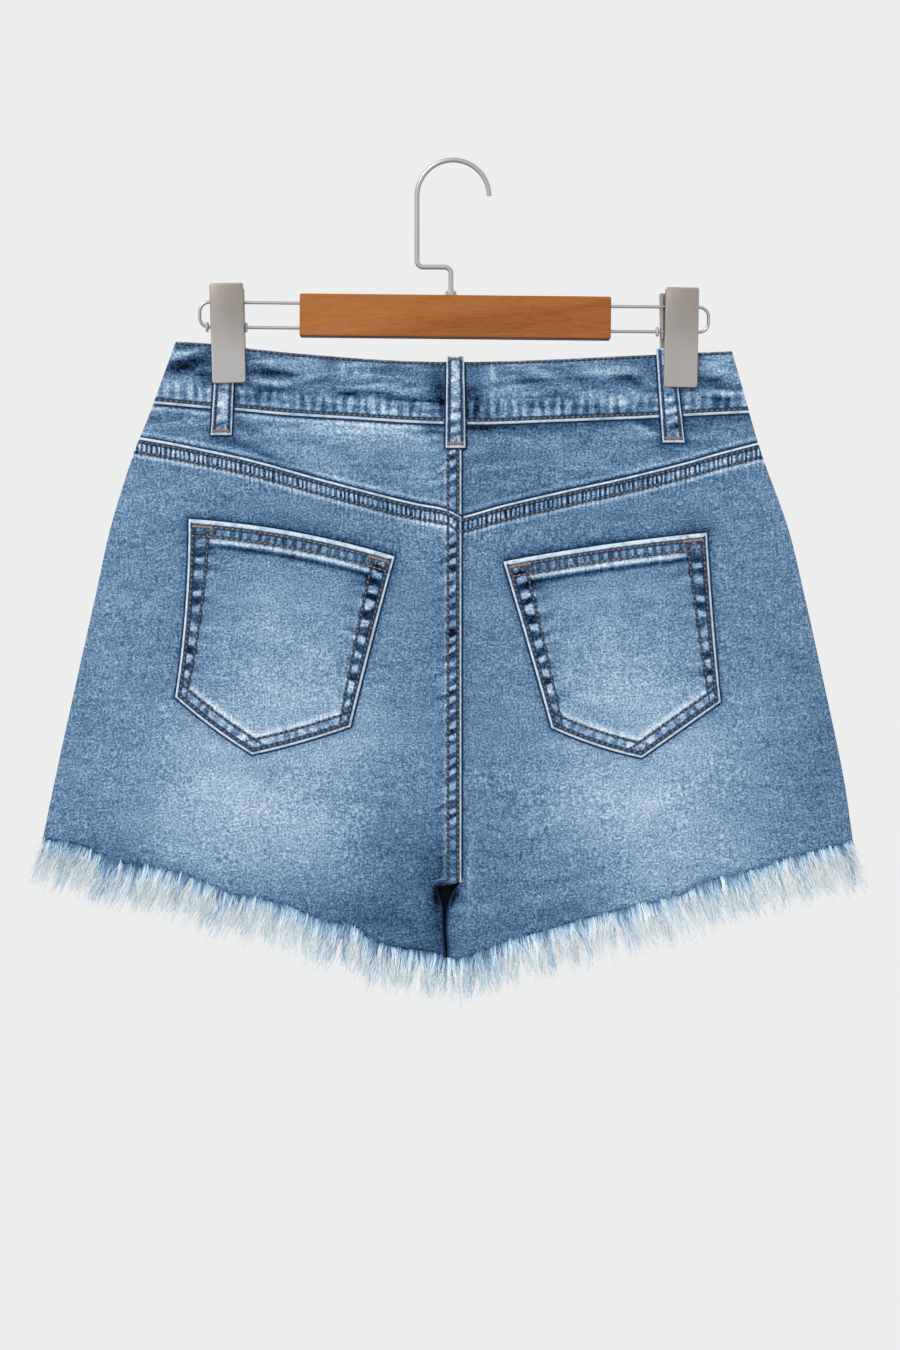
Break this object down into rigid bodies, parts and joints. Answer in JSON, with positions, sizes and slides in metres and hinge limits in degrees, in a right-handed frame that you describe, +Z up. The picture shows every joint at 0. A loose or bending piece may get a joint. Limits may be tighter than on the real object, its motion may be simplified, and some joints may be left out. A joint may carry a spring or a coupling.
{
  "type": "denim shorts on a clip hanger",
  "caption": "Short denim trousers with a frayed hem, belt loops and two back patch pockets, hung flat by the waistband from a wooden bar hanger with clips",
  "frame": {"origin": "the inner top of the hanger's hook, where a rail or wall hook carries it", "axes": "+Z up, X across the garment with the wearer's left at -X, the garment's back faces -Y and its front +Y"},
  "size_m": [0.5844, 0.0258, 0.5875],
  "materials": {
    "denim": "washed mid-blue stretch denim with worn pale seams",
    "fray": "loose undyed cotton yarns, white to pale blue",
    "button_metal": "antique copper",
    "bar_wood": "satin varnish over reddish brown hardwood",
    "hanger_metal": "brushed nickel plate"
  },
  "bodies": {
    "root": {"waistband_back": "denim", "waistband_front_left": "denim", "waistband_front_right": "denim", "yoke_left": "denim", "yoke_right": "denim", "back_left": "denim", "back_right": "denim", "front_left": "denim", "front_right": "denim", "pocket_left": "denim", "pocket_right": "denim", "loop_back_centre": "denim", "loop_back_left": "denim", "loop_back_right": "denim", "loop_front_left": "denim", "loop_front_right": "denim", "fringe_back_left": "fray", "fringe_back_right": "fray", "fringe_front_left": "fray", "fringe_front_right": "fray", "waist_button": "button_metal", "hanger_bar": "bar_wood", "hanger_hook": "hanger_metal", "hook_collar": "hanger_metal", "rail_left": "hanger_metal", "rail_right": "hanger_metal", "clip_left_plate": "hanger_metal", "clip_left_jaw": "hanger_metal", "clip_right_plate": "hanger_metal", "clip_right_jaw": "hanger_metal"}
  },
  "joints": []
}
